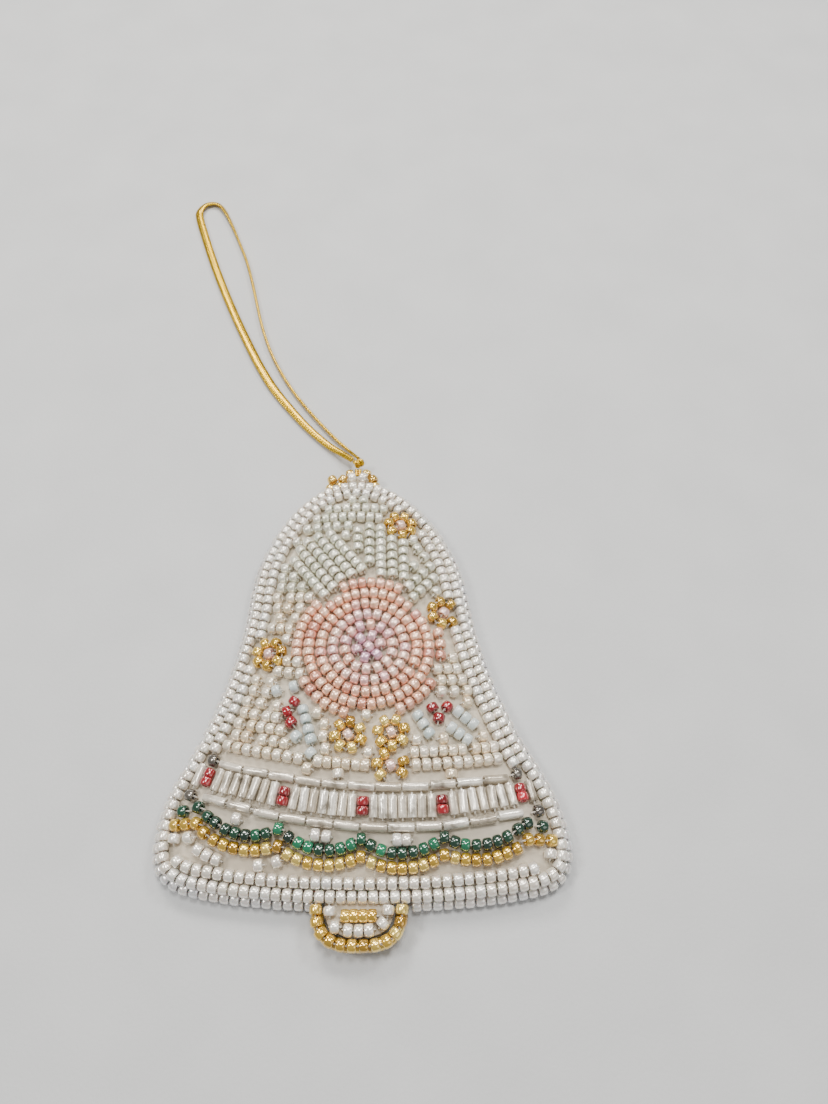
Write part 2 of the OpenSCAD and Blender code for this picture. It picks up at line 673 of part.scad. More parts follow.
// ---- Hanging cord ----------------------------------------------------------
module cord_anchor() {
    color("gold")
        translate([pivot.x, crown.y + crown_r - bead_r, pivot.z])
            rotate([-90, 0, 0])
                cylinder(d = 1.2, h = 2.1 + bead_r - knot_d / 2 - 0.3);
}

module cord_knot() {
    color("gold")
        translate(pivot)
            sphere(d = knot_d);
}

module hanging_loop() {
    color("gold")
        skin([for (i = [0 : len(cord_line) - 1])
            let (ahead = unit(cord_line[min(i + 1, len(cord_line) - 1)] - cord_line[max(i - 1, 0)]),
                across_dir = unit(cross(ahead, [0, 0, 1])), up = cross(across_dir, ahead))
            [for (k = [0 : cord_sides - 1]) let (a = 360 * (k + 0.5) / cord_sides)
                cord_line[i] + cord_d / 2 * (cos(a) * across_dir + sin(a) * up)]]);
}

backing_felt();
stuffing_pad();
front_fabric();
seam_beads();
outline_beads();
contour_beads();
dome_field_beads();
side_field_beads();
skirt_field_beads();
hem_field_beads();
leaf_beads();
rose_outer_petals();
rose_inner_petals();
rose_heart();
gold_flower_petals();
gold_flower_centres();
berry_beads();
berry_leaf_beads();
upper_rail_bugles();
lower_rail_bugles();
rail_end_beads();
ladder_bugles();
ruby_beads();
green_garland();
gold_garland();
clapper_fabric();
clapper_pad();
clapper_seam_beads();
clapper_rim_beads();
clapper_pearls();
clapper_gold_bar();
crown_tab();
crown_gold_beads();
crown_pearls();
cord_anchor();
cord_knot();
hanging_loop();
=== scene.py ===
import json
import math
import random

import bpy
import numpy as np
from mathutils import Matrix, Vector, noise


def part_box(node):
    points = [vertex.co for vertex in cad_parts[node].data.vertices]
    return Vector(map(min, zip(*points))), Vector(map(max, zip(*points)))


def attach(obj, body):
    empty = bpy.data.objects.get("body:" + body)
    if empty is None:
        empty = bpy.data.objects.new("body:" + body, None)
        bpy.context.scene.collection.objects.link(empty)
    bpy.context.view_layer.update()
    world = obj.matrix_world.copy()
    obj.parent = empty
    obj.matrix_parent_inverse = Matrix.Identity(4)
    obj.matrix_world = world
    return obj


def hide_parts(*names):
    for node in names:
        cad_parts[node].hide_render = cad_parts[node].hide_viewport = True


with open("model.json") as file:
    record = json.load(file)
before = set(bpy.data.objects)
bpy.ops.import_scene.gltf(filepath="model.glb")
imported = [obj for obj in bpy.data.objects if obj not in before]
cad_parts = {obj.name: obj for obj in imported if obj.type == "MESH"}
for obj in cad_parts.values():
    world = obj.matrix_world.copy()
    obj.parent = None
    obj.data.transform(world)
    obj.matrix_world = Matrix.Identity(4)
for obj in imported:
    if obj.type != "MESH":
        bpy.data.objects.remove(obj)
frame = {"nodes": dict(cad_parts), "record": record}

# A flat padded bell ornament covered in glass beads, lying on its back with its gold
# loop laid out above it. Lengths below are in millimetres; MM turns them into metres.
MM = 0.001
random.seed(12)
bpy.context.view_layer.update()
BODY_OF = {n: b for b, nodes in frame["record"]["behaviour"]["bodies"].items() for n in nodes}


# ---- Camera ------------------------------------------------------------------
EYE = Vector((8.45, -50.1, 145.0)) * MM
LOOK_DOWN = 62.0
camera_data = bpy.data.cameras.new("camera")
camera_data.lens = 27.07
camera_data.sensor_width = 36.0
camera_data.clip_start = 0.005
camera = bpy.data.objects.new("camera", camera_data)
camera.location = EYE
camera.rotation_euler = (math.radians(90.0 - LOOK_DOWN), 0.0, 0.0)
bpy.context.scene.collection.objects.link(camera)
bpy.context.scene.camera = camera


# ---- Mesh helpers ------------------------------------------------------------
def add_piece(name, verts, faces, material, node=None, uvs=None):
    """Makes a smooth object, rides it on its node's body and puts it in the node's place."""
    mesh = bpy.data.meshes.new(name)
    mesh.from_pydata([tuple(v) for v in verts], [], [tuple(f) for f in faces])
    mesh.update()
    mesh.polygons.foreach_set("use_smooth", [True] * len(mesh.polygons))
    if uvs is not None:
        layer = mesh.uv_layers.new(name="along")
        loops = np.zeros(len(mesh.loops), np.int32)
        mesh.loops.foreach_get("vertex_index", loops)
        layer.data.foreach_set("uv", np.asarray(uvs, np.float32)[loops].ravel())
    mesh.materials.append(material)
    piece = bpy.data.objects.new(name, mesh)
    bpy.context.scene.collection.objects.link(piece)
    if node:
        settle(piece, node)
    return piece


def settle(piece, node):
    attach(piece, BODY_OF[node])
    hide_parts(node)


def tube(path, radii, sides, flat=1.0, rolls=None, relief=None):
    """Vertices, quads and (around, along) coordinates of a tube along path.
    radii is the half width at each point, flat the share of it that is the half thickness,
    rolls turns the section round the path and relief(around, along) adds a height."""
    path = [Vector(p) for p in path]
    radii = radii if hasattr(radii, "__len__") else [radii] * len(path)
    rolls = rolls or [0.0] * len(path)
    verts, uvs, run = [], [], 0.0
    for i, p in enumerate(path):
        ahead = (path[min(i + 1, len(path) - 1)] - path[max(i - 1, 0)]).normalized()
        side = ahead.cross(Vector((0, 0, 1)))
        side = side.normalized() if side.length > 0.05 else Vector((1, 0, 0))
        up = side.cross(ahead).normalized()
        run += (p - path[i - 1]).length if i else 0.0
        turn = rolls[i]
        wide = side * math.cos(turn) + up * math.sin(turn)
        tall = up * math.cos(turn) - side * math.sin(turn)
        thin = flat if not hasattr(flat, "__len__") else flat[i]
        for k in range(sides):
            a = 2 * math.pi * k / sides
            r = radii[i] + (relief(a, run) if relief else 0.0)
            verts.append(p + wide * (r * math.cos(a)) + tall * (r * thin * math.sin(a)))
            uvs.append((k / sides, run))
    faces = []
    for i in range(len(path) - 1):
        for k in range(sides):
            j = (k + 1) % sides
            faces.append((i * sides + k, i * sides + j, (i + 1) * sides + j, (i + 1) * sides + k))
    last = (len(path) - 1) * sides
    faces.append(tuple(range(sides - 1, -1, -1)))
    faces.append(tuple(range(last, last + sides)))
    return verts, faces, uvs


def spline(points, steps):
    """Catmull-Rom points through a route, steps to each stretch."""
    pts = [Vector(p) for p in points]
    line = []
    for i in range(len(pts) - 1):
        a, b, c, d = pts[max(i - 1, 0)], pts[i], pts[i + 1], pts[min(i + 2, len(pts) - 1)]
        for k in range(steps):
            t = k / steps
            line.append(0.5 * (2 * b + (c - a) * t + (2 * a - 5 * b + 4 * c - d) * t ** 2
                               + (3 * b - a - 3 * c + d) * t ** 3))
    return line + [pts[-1]]


# ---- Material helpers --------------------------------------------------------
class Shader:
    """A Principled material with short calls for the nodes that feed it."""

    def __init__(self, name, **sockets):
        self.material = bpy.data.materials.new(name)
        self.material.use_nodes = True
        self.tree = self.material.node_tree
        self.main = self.tree.nodes["Principled BSDF"]
        for socket, value in sockets.items():
            self.main.inputs[socket.replace("_", " ")].default_value = value

    def node(self, kind, **values):
        made = self.tree.nodes.new(kind)
        for key, value in values.items():
            if hasattr(made, key):
                setattr(made, key, value)
            else:
                made.inputs[key.replace("_", " ")].default_value = value
        return made

    def link(self, out, into):
        self.tree.links.new(out, into)

    def place(self):
        return self.node("ShaderNodeTexCoord").outputs["Object"]

    def noise(self, scale, detail=2.0, roughness=0.5):
        made = self.node("ShaderNodeTexNoise", Scale=scale, Detail=detail, Roughness=roughness)
        self.link(self.place(), made.inputs["Vector"])
        return made.outputs["Fac"]

    def each(self):
        """A random number for each bead."""
        return self.node("ShaderNodeNewGeometry").outputs["Random Per Island"]

    def ramp(self, fac, stops):
        made = self.node("ShaderNodeValToRGB")
        while len(made.color_ramp.elements) < len(stops):
            made.color_ramp.elements.new(0.5)
        for element, (at, colour) in zip(made.color_ramp.elements, stops):
            element.position = at
            element.color = (*colour, 1.0)
        self.link(fac, made.inputs["Fac"])
        return made.outputs["Color"]

    def mix(self, fac, a, b, blend="MIX"):
        made = self.node("ShaderNodeMix", data_type="RGBA", blend_type=blend)
        for value, socket in ((fac, 0), (a, 6), (b, 7)):
            if isinstance(value, (float, int)):
                made.inputs[socket].default_value = value
            elif isinstance(value, tuple):
                made.inputs[socket].default_value = (*value, 1.0)
            else:
                self.link(value, made.inputs[socket])
        return made.outputs[2]

    def scaled(self, value, low, high):
        made = self.node("ShaderNodeMapRange", To_Min=low, To_Max=high)
        self.link(value, made.inputs["Value"])
        return made.outputs["Result"]

    def maths(self, operation, a, b=0.5):
        made = self.node("ShaderNodeMath", operation=operation)
        for value, socket in ((a, 0), (b, 1)):
            if isinstance(value, (float, int)):
                made.inputs[socket].default_value = value
            else:
                self.link(value, made.inputs[socket])
        return made.outputs[0]

    def bump(self, height, distance, strength=1.0):
        made = self.node("ShaderNodeBump", Distance=distance, Strength=strength)
        self.link(height, made.inputs["Height"])
        self.link(made.outputs["Normal"], self.main.inputs["Normal"])

    def colour(self, out):
        self.link(out, self.main.inputs["Base Color"])

    def rough(self, out):
        self.link(out, self.main.inputs["Roughness"])


def glass_bead(name, stops, roughness=(0.12, 0.3), lustre=0.4, metal=0.0, clear=0.0, glow=0.0):
    """Glass whose colour differs from bead to bead, with faint clouds and a worn gloss."""
    s = Shader(name, Metallic=metal, Coat_Weight=lustre, Coat_Roughness=0.14, Coat_IOR=1.75, IOR=1.6,
               Transmission_Weight=clear, Subsurface_Weight=glow, Subsurface_Scale=0.0006)
    each = s.each()
    tint = s.ramp(each, stops)
    cloud = s.noise(900.0, 3.0)
    pale = s.scaled(cloud, 0.86, 1.1)
    tone = s.node("ShaderNodeHueSaturation")
    s.link(tint, tone.inputs["Color"])
    s.link(pale, tone.inputs["Value"])
    s.colour(tone.outputs["Color"])
    s.rough(s.scaled(s.maths("ADD", s.maths("MULTIPLY", each, 0.5), s.maths("MULTIPLY", cloud, 0.5)),
                     roughness[0], roughness[1]))
    s.bump(s.noise(1600.0, 2.0), 0.00003)
    return s.material


def cloth(name, light, dark, pitch, fuzz=0.3):
    """A fine woven or felted cloth: two crossed sets of threads, painted darker in their low parts as shade,
    with worn, uneven colour.
    """
    s = Shader(name, Sheen_Weight=0.35, Sheen_Roughness=0.5, Specular_IOR_Level=0.25)
    place = s.place()
    threads = []
    for direction in ("X", "Y"):
        wave = s.node("ShaderNodeTexWave", wave_type="BANDS", bands_direction=direction, Scale=0.5 / pitch,
                      Distortion=1.2, Detail=1.0, Detail_Scale=2.0)
        s.link(place, wave.inputs["Vector"])
        threads.append(wave.outputs["Fac"])
    weave = s.maths("MULTIPLY", threads[0], threads[1])
    fibre = s.noise(4000.0, 4.0, 0.7)
    height = s.maths("ADD", s.maths("MULTIPLY", weave, 1.0 - fuzz), s.maths("MULTIPLY", fibre, fuzz))
    patch = s.noise(120.0, 3.0)
    # Colour: painted shade where the weave and fibres are low, plus patchy uneven tone from the patch noise.
    painted_shade_and_patches = s.maths("ADD", s.maths("MULTIPLY", height, 0.6), s.maths("MULTIPLY", patch, 0.4))
    s.colour(s.ramp(painted_shade_and_patches, [(0.15, dark), (0.7, light)]))
    s.rough(s.scaled(fibre, 0.75, 0.95))
    s.bump(height, pitch * 0.4)
    return s.material


def braid_material(name, bright, dark):
    """Metallic yarn: painted highlights and painted shade on fine facets that run slantwise round the cord,
    with painted glints.
    """
    s = Shader(name, Metallic=0.92, Coat_Weight=0.3, Coat_Roughness=0.15, Anisotropic=0.4)
    uv = s.node("ShaderNodeUVMap", uv_map="along").outputs["UV"]
    axes = s.node("ShaderNodeSeparateXYZ")
    s.link(uv, axes.inputs["Vector"])
    around = s.maths("MULTIPLY", axes.outputs["X"], 2 * math.pi * 6)
    along = s.maths("MULTIPLY", axes.outputs["Y"], 2 * math.pi / 0.0011)
    one = s.maths("SINE", s.maths("ADD", around, along), 0.0)
    other = s.maths("SINE", s.maths("SUBTRACT", around, along), 0.0)
    cross = s.maths("MULTIPLY", one, other)
    glint = s.noise(2600.0, 3.0, 0.6)
    # Colour: painted highlight where the slanting yarn pattern and the glint noise are high, painted shade
    # where they are low.
    fac = s.maths("ADD", s.scaled(cross, 0.1, 0.55), s.maths("MULTIPLY", glint, 0.55))
    s.colour(s.ramp(fac, [(0.3, dark), (0.75, bright)]))
    s.rough(s.scaled(glint, 0.18, 0.42))
    s.bump(fac, 0.00006)
    return s.material


PEARLY = {"lustre": 1.0, "glow": 0.06, "metal": 0.4, "roughness": (0.16, 0.32)}
GREYISH = {"lustre": 1.0, "glow": 0.04, "metal": 0.4, "roughness": (0.14, 0.3)}
LINED = {"lustre": 1.0, "metal": 0.7, "roughness": (0.08, 0.26)}
DARK_GLASS = {"lustre": 1.0, "metal": 0.2, "roughness": (0.05, 0.15)}
PEARL_WHITE = glass_bead("pearl_white", [(0.0, (0.86, 0.79, 0.69)), (0.6, (0.95, 0.89, 0.79)),
                                         (1.0, (0.86, 0.84, 0.80))], **PEARLY)
PEARL_EDGE = glass_bead("pearl_edge", [(0.0, (0.82, 0.79, 0.76)), (0.6, (0.93, 0.88, 0.81)),
                                       (1.0, (0.80, 0.80, 0.83))], **PEARLY)
PEARL_CREAM = glass_bead("pearl_cream", [(0.0, (0.86, 0.70, 0.48)), (0.35, (0.93, 0.81, 0.62)),
                                         (0.7, (0.93, 0.85, 0.72)), (1.0, (0.88, 0.75, 0.55))],
                         **PEARLY)
CLEAR_GREY = glass_bead("clear_grey", [(0.0, (0.70, 0.70, 0.55)), (0.5, (0.85, 0.82, 0.69)),
                                       (1.0, (0.76, 0.77, 0.64))], **GREYISH)
BLUSH = glass_bead("blush", [(0.0, (0.92, 0.47, 0.30)), (0.4, (0.95, 0.60, 0.42)), (0.75, (0.93, 0.53, 0.38)),
                             (0.88, (0.66, 0.28, 0.19)), (1.0, (0.82, 0.44, 0.38))], **PEARLY)
PALE_PINK = glass_bead("pale_pink", [(0.0, (0.94, 0.56, 0.42)), (0.4, (0.95, 0.66, 0.54)),
                                     (0.75, (0.80, 0.46, 0.52)), (1.0, (0.93, 0.52, 0.36))],
                       **PEARLY)
LILAC = glass_bead("lilac", [(0.0, (0.90, 0.54, 0.48)), (0.5, (0.66, 0.40, 0.52)), (1.0, (0.88, 0.46, 0.30))],
                   **PEARLY)
GOLD = glass_bead("gold_lined", [(0.0, (0.50, 0.27, 0.015)), (0.5, (0.86, 0.55, 0.06)),
                                 (1.0, (1.0, 0.77, 0.20))], **LINED)
PALE_GOLD = glass_bead("pale_gold", [(0.0, (0.62, 0.36, 0.04)), (0.5, (0.92, 0.62, 0.13)),
                                     (1.0, (1.0, 0.78, 0.28))], **LINED)
RUBY = glass_bead("ruby", [(0.0, (0.16, 0.001, 0.004)), (0.6, (0.34, 0.004, 0.012)),
                           (1.0, (0.56, 0.012, 0.03))], **DARK_GLASS)
EMERALD = glass_bead("emerald", [(0.0, (0.0, 0.016, 0.008)), (0.55, (0.001, 0.05, 0.022)),
                                 (1.0, (0.005, 0.22, 0.10))], **DARK_GLASS)
AQUA = glass_bead("aqua_clear", [(0.0, (0.56, 0.68, 0.69)), (1.0, (0.74, 0.80, 0.78))],
                  lustre=1.0, clear=0.15)
TARNISH = glass_bead("tarnished", [(0.0, (0.07, 0.06, 0.05)), (1.0, (0.34, 0.31, 0.27))],
                     roughness=(0.12, 0.35), lustre=1.0, metal=0.8)
# The darker colour of each cloth is painted shade between its threads and fibres as well as patchy tone.
BACK_FELT = cloth("ivory_felt", (0.84, 0.81, 0.74), (0.66, 0.62, 0.54), 0.0006, fuzz=0.85)
GROUND = cloth("ivory_ground", (0.90, 0.82, 0.68), (0.70, 0.61, 0.48), 0.00028)
FILLING = cloth("white_filling", (0.88, 0.88, 0.86), (0.70, 0.70, 0.68), 0.0008, fuzz=0.95)
THREAD = cloth("white_thread", (0.94, 0.90, 0.82), (0.76, 0.70, 0.60), 0.00012)
# The braid's bright gold is painted highlight and its dark gold painted shade.
BRAID = braid_material("gold_braid", (1.0, 0.70, 0.04), (0.50, 0.27, 0.01))


def bugle_glass():
    """Clear tube with a silver lining: long streaks of light, and a worn dark lining here and there."""
    s = Shader("silver_lined", Metallic=0.35, Coat_Weight=1.0, Coat_Roughness=0.04, IOR=1.52)
    each = s.each()
    streak = s.noise(1400.0, 2.0)
    wear = s.noise(350.0, 3.0, 0.6)
    base = s.ramp(each, [(0.0, (0.52, 0.45, 0.35)), (0.5, (0.80, 0.73, 0.62)), (1.0, (0.97, 0.93, 0.84))])
    worn = s.ramp(wear, [(0.3, (0.35, 0.33, 0.30)), (0.5, (1.0, 1.0, 1.0))])
    s.colour(s.mix(1.0, base, worn, "MULTIPLY"))
    s.rough(s.scaled(streak, 0.08, 0.38))
    s.bump(streak, 0.00004)
    return s.material


BUGLE = bugle_glass()


# ---- Hanging cord ------------------------------------------------------------
# Route of the loop, from one end at the knot round to the other, in millimetres.
LOOP_ROUTE = [
    (-4.4, 47.4, 2.3), (-6.8, 49.6, 1.5), (-9.9, 52.2, 0.9), (-14.4, 56.8, 0.75),
    (-18.6, 62, 0.7), (-22.6, 67.6, 0.7), (-26, 73.6, 0.7), (-29.2, 80.2, 0.7), (-32.4, 87.2, 0.7),
    (-35.4, 94.2, 0.7), (-38.2, 101.2, 0.7), (-40.8, 108.2, 0.7), (-43.2, 115.2, 0.7),
    (-45, 120.8, 0.7), (-45.4, 123.8, 0.7), (-44, 126.2, 0.7), (-41.4, 126.4, 0.7),
    (-39.4, 124.2, 0.7), (-37, 119.2, 0.7), (-34.6, 113.2, 0.7), (-32.2, 106.8, 0.7),
    (-30.2, 100, 0.7), (-28.4, 92.8, 0.7), (-26.6, 85.8, 0.7), (-24.2, 78.6, 0.7),
    (-21.2, 72, 0.7), (-17.6, 65.8, 0.7), (-13.4, 60, 0.75), (-8.8, 54.4, 0.75),
    (-5.2, 50.6, 0.9), (-3, 47.8, 2.1)]
APEX = 15
STEPS = 24


def cord_share(i):
    """How far along the route a ring is: 0 at the knot, 1 at the loop's bend, 2 at the knot again."""
    stop = i / STEPS
    return stop / APEX if stop < APEX else 1 + (stop - APEX) / (len(LOOP_ROUTE) - 1 - APEX)


def braid_relief(around, along):
    """Two sets of yarn that cross, as ridges on the cord."""
    turn = along / (1.1 * MM) * 2 * math.pi
    return 0.05 * MM * math.sin(3 * around + turn) * math.sin(3 * around - turn)


def make_loop():
    """The flat braid lies face up in its first leg and stands on its edge in the second."""
    line = spline(LOOP_ROUTE, STEPS)
    widths, thins, rolls = [], [], []
    for i in range(len(line)):
        u = cord_share(i)
        leg = min(1.0, max(0.0, (u - 0.9) / 0.35))
        near_knot = max(0.0, 1 - u / 0.35)
        face = 1.0 - 0.42 * near_knot
        widths.append((face * (1 - leg) + 0.62 * leg) * MM)
        thins.append(0.42 + 0.3 * near_knot * (1 - leg) + 0.12 * leg)
        rolls.append(math.radians(14 * near_knot + 80 * leg + 6 * math.sin(9 * u)))
    path = [p * MM for p in line]
    verts, faces, uvs = tube(path, widths, 18, thins, rolls, braid_relief)
    loop = add_piece("gold_loop", verts, faces, BRAID, "hanging_loop", uvs)
    length = sum((b - a).length for a, b in zip(path, path[1:]))
    return loop, path, length


def make_knot():
    """The two ends are tied in one round overhand knot, a tube that winds through itself."""
    lo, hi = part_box("cord_knot")
    centre, size = (lo + hi) / 2, (hi - lo).x / 2
    path = []
    for i in range(121):
        t = 2 * math.pi * i / 120
        wind = Vector((math.sin(t) + 2 * math.sin(2 * t), -math.sin(3 * t),
                       math.cos(t) - 2 * math.cos(2 * t)))
        path.append(centre + wind * (size * 0.22))
    verts, faces, uvs = tube(path, size * 0.34, 12, relief=lambda a, s: braid_relief(a, s) * 0.6)
    return add_piece("gold_knot", verts, faces, BRAID, "cord_knot", uvs)


def make_anchor():
    """The cord's two strands side by side, from under the crown's beads to the knot."""
    lo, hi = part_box("cord_anchor")
    middle = (lo + hi) / 2
    verts, faces, uvs = [], [], []
    for side in (-1, 1):
        path = [Vector((middle.x + side * 0.33 * MM, lo.y + (hi.y - lo.y) * i / 12, middle.z))
                for i in range(13)]
        v, f, u = tube(path, 0.33 * MM, 12, relief=lambda a, s: braid_relief(a, s) * 0.5)
        faces += [tuple(k + len(verts) for k in face) for face in f]
        verts += v
        uvs += u
    return add_piece("gold_strands", verts, faces, BRAID, "cord_anchor", uvs)


knot = make_knot()
strands = make_anchor()
loop, loop_path, loop_length = make_loop()


# ---- Beads -------------------------------------------------------------------
def bead_seats(node):
    """Centre, hole direction, half length and radius of each bead in a CAD node."""
    mesh = frame["nodes"][node].data
    mesh.calc_loop_triangles()
    co = np.zeros(len(mesh.vertices) * 3, np.float32)
    mesh.vertices.foreach_get("co", co)
    co = co.reshape(-1, 3).astype(float)
    tri = np.zeros(len(mesh.loop_triangles) * 3, np.int32)
    mesh.loop_triangles.foreach_get("vertices", tri)
    tri = tri.reshape(-1, 3)
    unique, same = np.unique(np.round(co * 1e7).astype(np.int64), axis=0, return_inverse=True)
    same = same.ravel()
    label = np.arange(len(unique))
    welded = same[tri]
    while True:
        low = label[welded].min(axis=1)
        before = label.copy()
        for k in range(3):
            np.minimum.at(label, welded[:, k], low)
        label = label[label]
        if (label == before).all():
            break
    seats = []
    group = label[welded[:, 0]]
    for g in np.unique(group):
        t = co[tri[group == g]]
        cross = np.cross(t[:, 1] - t[:, 0], t[:, 2] - t[:, 0])
        area = np.linalg.norm(cross, axis=1) / 2
        keep = area > 1e-14
        t, area, normal = t[keep], area[keep], cross[keep] / (2 * area[keep, None])
        centre = (t.mean(axis=1) * area[:, None]).sum(axis=0) / area.sum()
        values, vectors = np.linalg.eigh((normal * area[:, None]).T @ normal)
        axis = vectors[:, 0]
        spread = t.reshape(-1, 3) - centre
        along = np.abs(spread @ axis)
        out = np.linalg.norm(spread - np.outer(spread @ axis, axis), axis=1)
        seats.append((Vector(centre), Vector(axis), float(along.max()), float(out.max())))
    return seats


AROUND = 18
HOLE = 0.4


def round_profile():
    """Closed section of a seed bead: a fat ring with soft rims, as (radius, height) from 0 to 1."""
    middle, half, points = (1 + HOLE) / 2, (1 - HOLE) / 2, 14
    section = []
    for i in range(points):
        t = 2 * math.pi * (i + 0.5) / points
        c, s = math.cos(t), math.sin(t)
        section.append((middle + half * math.copysign(abs(c) ** 0.75, c), math.copysign(abs(s) ** 0.8, s)))
    return section


def tube_profile():
    """Closed section of a bugle: a straight tube with fire-softened ends."""
    outer = [(0.86, 1.0), (0.96, 0.985), (1.0, 0.95), (1.0, 0.5), (0.99, 0.0), (1.0, -0.5),
             (1.0, -0.95), (0.96, -0.985), (0.86, -1.0)]
    inner = [(0.62, -0.99), (0.54, -0.95), (0.53, 0.0), (0.54, 0.95), (0.62, 0.99)]
    return outer + inner


def make_beads(node, material, profile, swell=1.06, stretch=1.12):
    """One smooth glass bead in each seat of a node, each a little different in size and tilt."""
    verts, faces = [], []
    for centre, axis, half, radius in bead_seats(node):
        if axis.x < 0:
            axis = -axis
        wobble = Vector(random.uniform(-1, 1) for _ in range(3)) * 0.05
        turn = (axis + wobble).normalized().to_track_quat("Z", "Y").to_matrix()
        shift = Vector(random.uniform(-1, 1) for _ in range(3)) * 0.03 * MM
        r = radius * swell * random.uniform(0.955, 1.0)
        h = half * stretch * random.uniform(0.93, 1.0)
        lean = random.uniform(-0.05, 0.05)
        first, spin = len(verts), random.uniform(0, 1)
        for k in range(AROUND):
            a = 2 * math.pi * (k + spin) / AROUND
            for out, up in profile:
                uneven = 1 + 0.015 * math.sin(2 * a + 6 * spin)
                x, y = out * r * math.cos(a) * uneven, out * r * math.sin(a) * uneven
                verts.append(centre + shift + turn @ Vector((x, y, up * h + lean * x)))
        n = len(profile)
        for k in range(AROUND):
            for i in range(n):
                a, b = first + k * n, first + (k + 1) % AROUND * n
                j = (i + 1) % n
                faces.append((a + i, a + j, b + j, b + i))
    return add_piece(node.replace("_beads", "") + "_glass", verts, faces, material, node)


ROUND = round_profile()
TUBE = tube_profile()
ROUND_BEADS = {
    "seam_beads": PEARL_EDGE, "outline_beads": PEARL_WHITE, "contour_beads": PEARL_WHITE,
    "dome_field_beads": CLEAR_GREY, "side_field_beads": PEARL_CREAM, "skirt_field_beads": PEARL_CREAM,
    "hem_field_beads": PEARL_WHITE, "leaf_beads": CLEAR_GREY, "rose_outer_petals": BLUSH,
    "rose_inner_petals": PALE_PINK, "rose_heart": LILAC, "gold_flower_petals": GOLD,
    "gold_flower_centres": PALE_PINK, "berry_beads": RUBY, "berry_leaf_beads": AQUA,
    "rail_end_beads": TARNISH, "ruby_beads": RUBY, "green_garland": EMERALD, "gold_garland": GOLD,
    "clapper_seam_beads": GOLD, "clapper_rim_beads": GOLD, "clapper_pearls": PEARL_WHITE,
    "clapper_gold_bar": GOLD, "crown_gold_beads": PALE_GOLD, "crown_pearls": PEARL_WHITE}
for bead_node, glass in ROUND_BEADS.items():
    make_beads(bead_node, glass, ROUND)
for bead_node in ("upper_rail_bugles", "lower_rail_bugles", "ladder_bugles"):
    make_beads(bead_node, BUGLE, TUBE, swell=1.0, stretch=1.0)


# ---- Thread ------------------------------------------------------------------
THREAD_R = 0.13


def make_thread(name, nodes, dip):
    """The sewing thread: through each bead's hole, then down into the cloth at both ends."""
    verts, faces, uvs = [], [], []
    for node in nodes:
        for centre, axis, half, radius in bead_seats(node):
            up = Vector((0, 0, 1)) - axis * axis.z
            up.normalize()
            reach = half + 0.1 * MM
            ends = []
            for side in (-1, 1):
                mouth = centre + axis * side * reach
                ends.append([mouth + axis * side * 0.22 * MM - up * dip * MM,
                             mouth + axis * side * 0.16 * MM - up * 0.3 * dip * MM, mouth])
            path = ends[0] + [centre] + ends[1][::-1]
            v, f, u = tube(path, THREAD_R * MM, 6)
            faces += [tuple(k + len(verts) for k in face) for face in f]
            verts += v
            uvs += u
    piece = add_piece(name, verts, faces, THREAD, uvs=uvs)
    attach(piece, "bell")
    return piece


make_thread("bead_thread", [n for n in ROUND_BEADS if n not in ("crown_gold_beads", "seam_beads",
                                                                "clapper_seam_beads", "ruby_beads")], 0.95)
make_thread("bugle_thread", ["upper_rail_bugles", "lower_rail_bugles", "ladder_bugles"], 0.6)


def make_edge_stitches():
    """Short stitches that wrap the sewn edge, one beside each bead of the seam row."""
    verts, faces, uvs = [], [], []
    for centre, axis, half, radius in bead_seats("seam_beads") + bead_seats("clapper_seam_beads"):
        out = Vector((axis.y, -axis.x, 0)).normalized()
        if out.dot(Vector((centre.x, centre.y - 0.008, 0))) < 0:
            out = -out
        beside = centre + axis * (half + 0.12 * MM)
        inner = beside - out * 1.35 * MM
        path = [Vector((inner.x, inner.y, 0.1 * MM)),
                beside - out * 0.9 * MM - Vector((0, 0, centre.z - 0.12 * MM)),
                beside - out * 0.45 * MM - Vector((0, 0, 0.8 * MM)), beside - out * 0.3 * MM,
                beside - out * 0.5 * MM + Vector((0, 0, 0.8 * MM))]
        v, f, u = tube(spline(path, 3), THREAD_R * MM, 6)
        faces += [tuple(k + len(verts) for k in face) for face in f]
        verts += v
        uvs += u
    piece = add_piece("edge_stitches", verts, faces, THREAD, uvs=uvs)
    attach(piece, "bell")


make_edge_stitches()


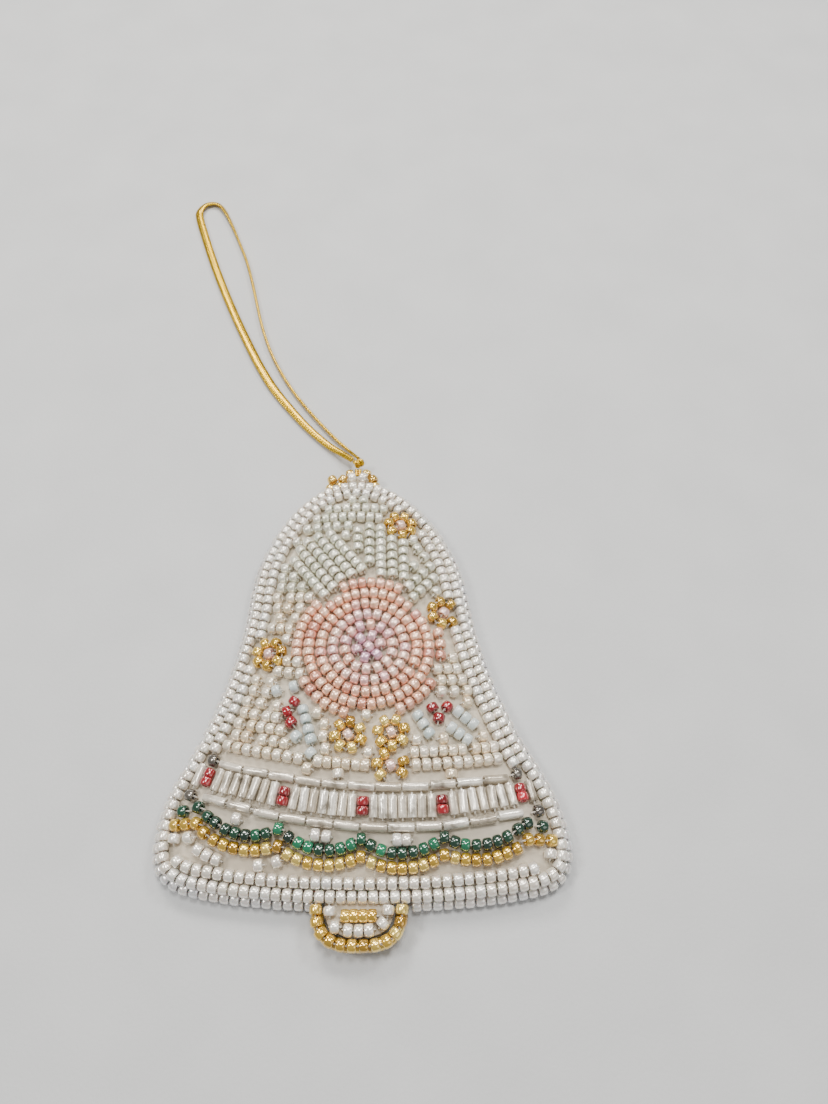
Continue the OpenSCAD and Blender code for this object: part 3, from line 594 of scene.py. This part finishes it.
# ---- Cloth -------------------------------------------------------------------
def cloth_copy(node, name, material, voxel=None, smooth=4, relief=0.04, scale=900.0, levels=0):
    """A soft version of a CAD cloth node: its edges rounded and its faces a little uneven."""
    piece = bpy.data.objects.new(name, frame["nodes"][node].data.copy())
    bpy.context.scene.collection.objects.link(piece)
    piece.data.materials.clear()
    piece.data.materials.append(material)
    bpy.context.view_layer.objects.active = piece
    if voxel:
        remesh = piece.modifiers.new("remesh", "REMESH")
        remesh.mode = "VOXEL"
        remesh.voxel_size = voxel * MM
        soften = piece.modifiers.new("soften", "SMOOTH")
        soften.iterations = smooth
    else:
        weld = piece.modifiers.new("weld", "WELD")
        weld.merge_threshold = 0.001 * MM
        if levels:
            split = piece.modifiers.new("split", "SUBSURF")
            split.subdivision_type = "SIMPLE"
            split.levels = split.render_levels = levels
    mesh = bpy.data.meshes.new_from_object(piece.evaluated_get(bpy.context.evaluated_depsgraph_get()))
    piece.modifiers.clear()
    piece.data = mesh
    co = np.zeros(len(mesh.vertices) * 3, np.float32)
    mesh.vertices.foreach_get("co", co)
    normals = np.zeros(len(mesh.vertices) * 3, np.float32)
    mesh.vertices.foreach_get("normal", normals)
    lumps = np.array([noise.noise(Vector(p) * scale) for p in co.reshape(-1, 3)], np.float32)
    co = co.reshape(-1, 3) + normals.reshape(-1, 3) * (lumps[:, None] - 0.6) * relief * MM
    mesh.vertices.foreach_set("co", co.ravel())
    mesh.polygons.foreach_set("use_smooth", [True] * len(mesh.polygons))
    mesh.update()
    settle(piece, node)
    return piece


felt = cloth_copy("backing_felt", "felt_back", BACK_FELT, voxel=0.4, relief=0.06)
ground = cloth_copy("front_fabric", "front_ground", GROUND, levels=1, relief=0.04)
pad = cloth_copy("stuffing_pad", "stuffing", FILLING, voxel=0.8, smooth=3, relief=0.12, scale=500.0)
clapper_ground = cloth_copy("clapper_fabric", "clapper_ground", GROUND, voxel=0.12, smooth=2, relief=0.02)
clapper_stuffing = cloth_copy("clapper_pad", "clapper_stuffing", FILLING, voxel=0.25, smooth=3, relief=0.05)
tab = cloth_copy("crown_tab", "crown_cloth", GROUND, voxel=0.15, smooth=3, relief=0.02)

# ---- Stage -------------------------------------------------------------------
def make_floor():
    shader = Shader("pale_floor", Roughness=0.8, Specular_IOR_Level=0.2)
    tones = [(0.3, (0.57, 0.58, 0.59)), (0.7, (0.61, 0.62, 0.63))]
    shader.colour(shader.ramp(shader.noise(60.0, 3.0), tones))
    shader.bump(shader.noise(1500.0, 3.0), 0.00005)
    mesh = bpy.data.meshes.new("floor")
    half, low = 1.5, -0.02 * MM
    corners = [(-half, -half, low), (half, -half, low), (half, half, low), (-half, half, low)]
    mesh.from_pydata(corners, [], [(0, 1, 2, 3)])
    mesh.materials.append(shader.material)
    floor = bpy.data.objects.new("floor", mesh)
    bpy.context.scene.collection.objects.link(floor)


def add_light(name, place, size, power, colour):
    data = bpy.data.lights.new(name, "AREA")
    data.size, data.energy, data.color = size, power, colour
    lamp = bpy.data.objects.new(name, data)
    lamp.location = place
    lamp.rotation_euler = (Vector((0, 0.01, 0)) - Vector(place)).to_track_quat("-Z", "Y").to_euler()
    bpy.context.scene.collection.objects.link(lamp)


make_floor()
add_light("key", (-0.12, 0.42, 0.45), 0.16, 2.4, (1.0, 0.96, 0.90))
add_light("fill", (0.35, -0.25, 0.4), 0.35, 0.6, (1.0, 0.98, 0.96))
add_light("glint_top", (0.04, 0.12, 0.55), 0.12, 1.6, (1.0, 0.99, 0.96))
add_light("glint_left", (-0.3, 0.02, 0.45), 0.1, 1.3, (1.0, 0.98, 0.94))
add_light("glint_right", (0.26, 0.3, 0.45), 0.1, 1.3, (1.0, 0.98, 0.94))
world = bpy.data.worlds.new("studio")
world.use_nodes = True
world.node_tree.nodes["Background"].inputs["Color"].default_value = (1.0, 0.97, 0.93, 1.0)
world.node_tree.nodes["Background"].inputs["Strength"].default_value = 0.3
bpy.context.scene.world = world
